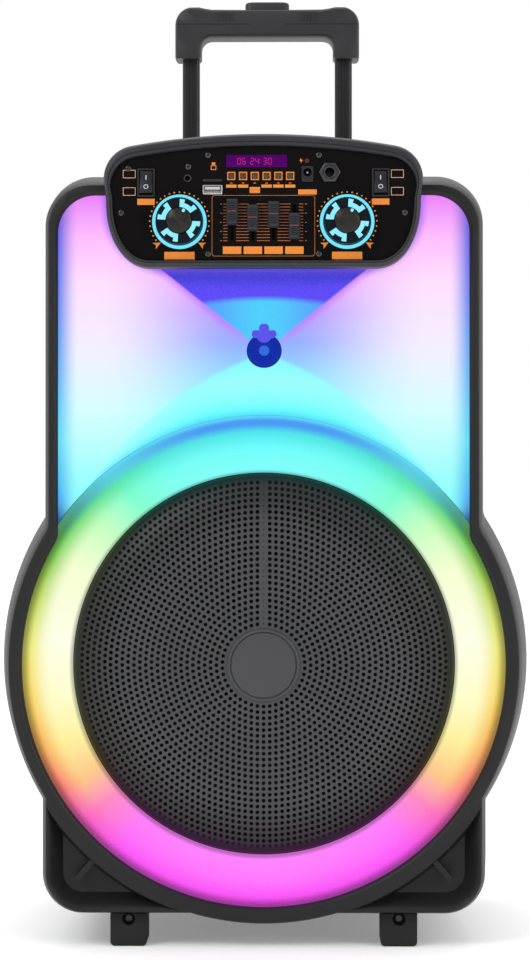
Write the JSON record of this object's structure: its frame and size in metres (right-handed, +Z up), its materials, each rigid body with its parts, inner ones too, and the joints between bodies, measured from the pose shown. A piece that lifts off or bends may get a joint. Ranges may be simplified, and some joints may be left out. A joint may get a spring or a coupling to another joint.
{
  "type": "party speaker",
  "caption": "Upright party speaker on a trolley: lit woofer ring and grille, lit horn panel, control console with knobs and faders, pull-out handle and rear wheels",
  "frame": {"origin": "on the floor, in the middle of the width and depth of the bounding box", "axes": "+X to the right seen from the front, -Y out of the front (grille side), +Z up"},
  "size_m": [0.4092, 0.3074, 0.7558],
  "materials": {
    "shell_black": "fine moulded black ABS",
    "grey_plastic": "dark grey moulded plastic",
    "control_gloss": "black control plate with orange printed scales",
    "lit_horn": "translucent panel lit blue, violet and cyan from behind",
    "lit_ring": "translucent ring lit in rainbow colours",
    "lit_blue": "translucent plastic lit light blue",
    "display": "violet display window with numbers",
    "grille_metal": "grey powder coated steel",
    "steel": "zinc plated steel",
    "handle_metal": "black coated steel tube",
    "alloy": "extruded aluminium",
    "magnet": "ferrite magnet",
    "tyre": "hard rubber tyre on a plastic hub",
    "surround_rubber": "soft rubber",
    "cone_paper": "pressed paper cone",
    "circuit_board": "glass fibre circuit board",
    "board_wood": "fibreboard"
  },
  "bodies": {
    "root": {"front_frame": "shell_black", "rear_cabinet": "shell_black", "foot_left": "shell_black", "foot_right": "shell_black", "console_housing": "grey_plastic", "rocker_housing_left": "grey_plastic", "rocker_housing_right": "grey_plastic", "aux_jack": "grey_plastic", "dc_jack": "grey_plastic", "mic_jack": "grey_plastic", "trolley_bracket": "grey_plastic", "bass_port": "grey_plastic", "battery": "grey_plastic", "tweeter_driver": "grey_plastic", "control_faceplate": "control_gloss", "light_panel": "lit_horn", "ring_diffuser": "lit_ring", "tweeter_lens": "lit_blue", "knob_light_ring_left": "lit_blue", "knob_light_ring_right": "lit_blue", "display_window": "display", "woofer_grille": "grille_metal", "grille_badge": "grille_metal", "usb_socket": "steel", "mic_jack_nut": "steel", "axle": "steel", "woofer_basket": "steel", "battery_strap": "steel", "trolley_sleeve_left": "steel", "trolley_sleeve_right": "steel", "heatsink": "alloy", "woofer_magnet": "magnet", "woofer_surround": "surround_rubber", "main_board": "circuit_board", "amplifier_board": "circuit_board", "ring_light_board": "circuit_board", "inner_baffle": "board_wood"},
    "woofer_cone": {"woofer_cone": "cone_paper", "dust_cap": "cone_paper"},
    "handle": {"handle_tube_left": "handle_metal", "handle_tube_right": "handle_metal", "handle_grip": "shell_black"},
    "release_button": {"release_button": "grey_plastic"},
    "knob_left": {"knob_left": "grey_plastic"},
    "knob_right": {"knob_right": "grey_plastic"},
    "fader_1": {"fader_1": "grey_plastic"},
    "fader_2": {"fader_2": "grey_plastic"},
    "fader_3": {"fader_3": "grey_plastic"},
    "fader_4": {"fader_4": "grey_plastic"},
    "rocker_left": {"rocker_left": "grey_plastic"},
    "rocker_right": {"rocker_right": "grey_plastic"},
    "button_1": {"button_1": "grey_plastic"},
    "button_2": {"button_2": "grey_plastic"},
    "button_3": {"button_3": "grey_plastic"},
    "button_4": {"button_4": "grey_plastic"},
    "button_5": {"button_5": "grey_plastic"},
    "button_6": {"button_6": "grey_plastic"},
    "wheel_left": {"wheel_left": "tyre"},
    "wheel_right": {"wheel_right": "tyre"}
  },
  "joints": [
    {"name": "handle_slide", "type": "slide", "parent": "root", "child": "handle", "axis": [0, 0, 1], "range_m": [-0.118, 0.25]},
    {"name": "release_press", "type": "slide", "parent": "handle", "child": "release_button", "axis": [0, 0, -1], "range_m": [0, 0.005], "stiffness_N_per_m": 400, "springref_m": -0.004},
    {"name": "cone_travel", "type": "slide", "parent": "root", "child": "woofer_cone", "axis": [0, 1, 0], "range_m": [-0.003, 0.003], "stiffness_N_per_m": 2000},
    {"name": "knob_left_turn", "type": "hinge", "parent": "root", "child": "knob_left", "pos_m": [-0.0624, -0.15365, 0.5431], "axis": [0, 1, 0], "range_deg": [-160.5, 109.5]},
    {"name": "knob_right_turn", "type": "hinge", "parent": "root", "child": "knob_right", "pos_m": [0.0624, -0.15365, 0.5431], "axis": [0, 1, 0], "range_deg": [-160.5, 109.5]},
    {"name": "fader_1_slide", "type": "slide", "parent": "root", "child": "fader_1", "axis": [0, 0, 1], "range_m": [-0.0174, 0.002]},
    {"name": "fader_2_slide", "type": "slide", "parent": "root", "child": "fader_2", "axis": [0, 0, 1], "range_m": [-0.0129, 0.0065]},
    {"name": "fader_3_slide", "type": "slide", "parent": "root", "child": "fader_3", "axis": [0, 0, 1], "range_m": [-0.0154, 0.004]},
    {"name": "fader_4_slide", "type": "slide", "parent": "root", "child": "fader_4", "axis": [0, 0, 1], "range_m": [-0.0068, 0.0126]},
    {"name": "rocker_left_tilt", "type": "hinge", "parent": "root", "child": "rocker_left", "pos_m": [-0.0873, -0.14065, 0.5722], "axis": [1, 0, 0], "range_deg": [0, 20]},
    {"name": "rocker_right_tilt", "type": "hinge", "parent": "root", "child": "rocker_right", "pos_m": [0.0873, -0.14065, 0.5722], "axis": [1, 0, 0], "range_deg": [0, 20]},
    {"name": "button_1_press", "type": "slide", "parent": "root", "child": "button_1", "axis": [0, 1, 0], "range_m": [0, 0.0007], "stiffness_N_per_m": 300, "springref_m": -0.0015},
    {"name": "button_2_press", "type": "slide", "parent": "root", "child": "button_2", "axis": [0, 1, 0], "range_m": [0, 0.0007], "stiffness_N_per_m": 300, "springref_m": -0.0015},
    {"name": "button_3_press", "type": "slide", "parent": "root", "child": "button_3", "axis": [0, 1, 0], "range_m": [0, 0.0007], "stiffness_N_per_m": 300, "springref_m": -0.0015},
    {"name": "button_4_press", "type": "slide", "parent": "root", "child": "button_4", "axis": [0, 1, 0], "range_m": [0, 0.0007], "stiffness_N_per_m": 300, "springref_m": -0.0015},
    {"name": "button_5_press", "type": "slide", "parent": "root", "child": "button_5", "axis": [0, 1, 0], "range_m": [0, 0.0007], "stiffness_N_per_m": 300, "springref_m": -0.0015},
    {"name": "button_6_press", "type": "slide", "parent": "root", "child": "button_6", "axis": [0, 1, 0], "range_m": [0, 0.0007], "stiffness_N_per_m": 300, "springref_m": -0.0015},
    {"name": "wheel_left_roll", "type": "hinge", "parent": "root", "child": "wheel_left", "pos_m": [-0.142, 0.11535, 0.035], "axis": [1, 0, 0], "continuous": true},
    {"name": "wheel_right_roll", "type": "hinge", "parent": "root", "child": "wheel_right", "pos_m": [0.142, 0.11535, 0.035], "axis": [1, 0, 0], "continuous": true}
  ]
}
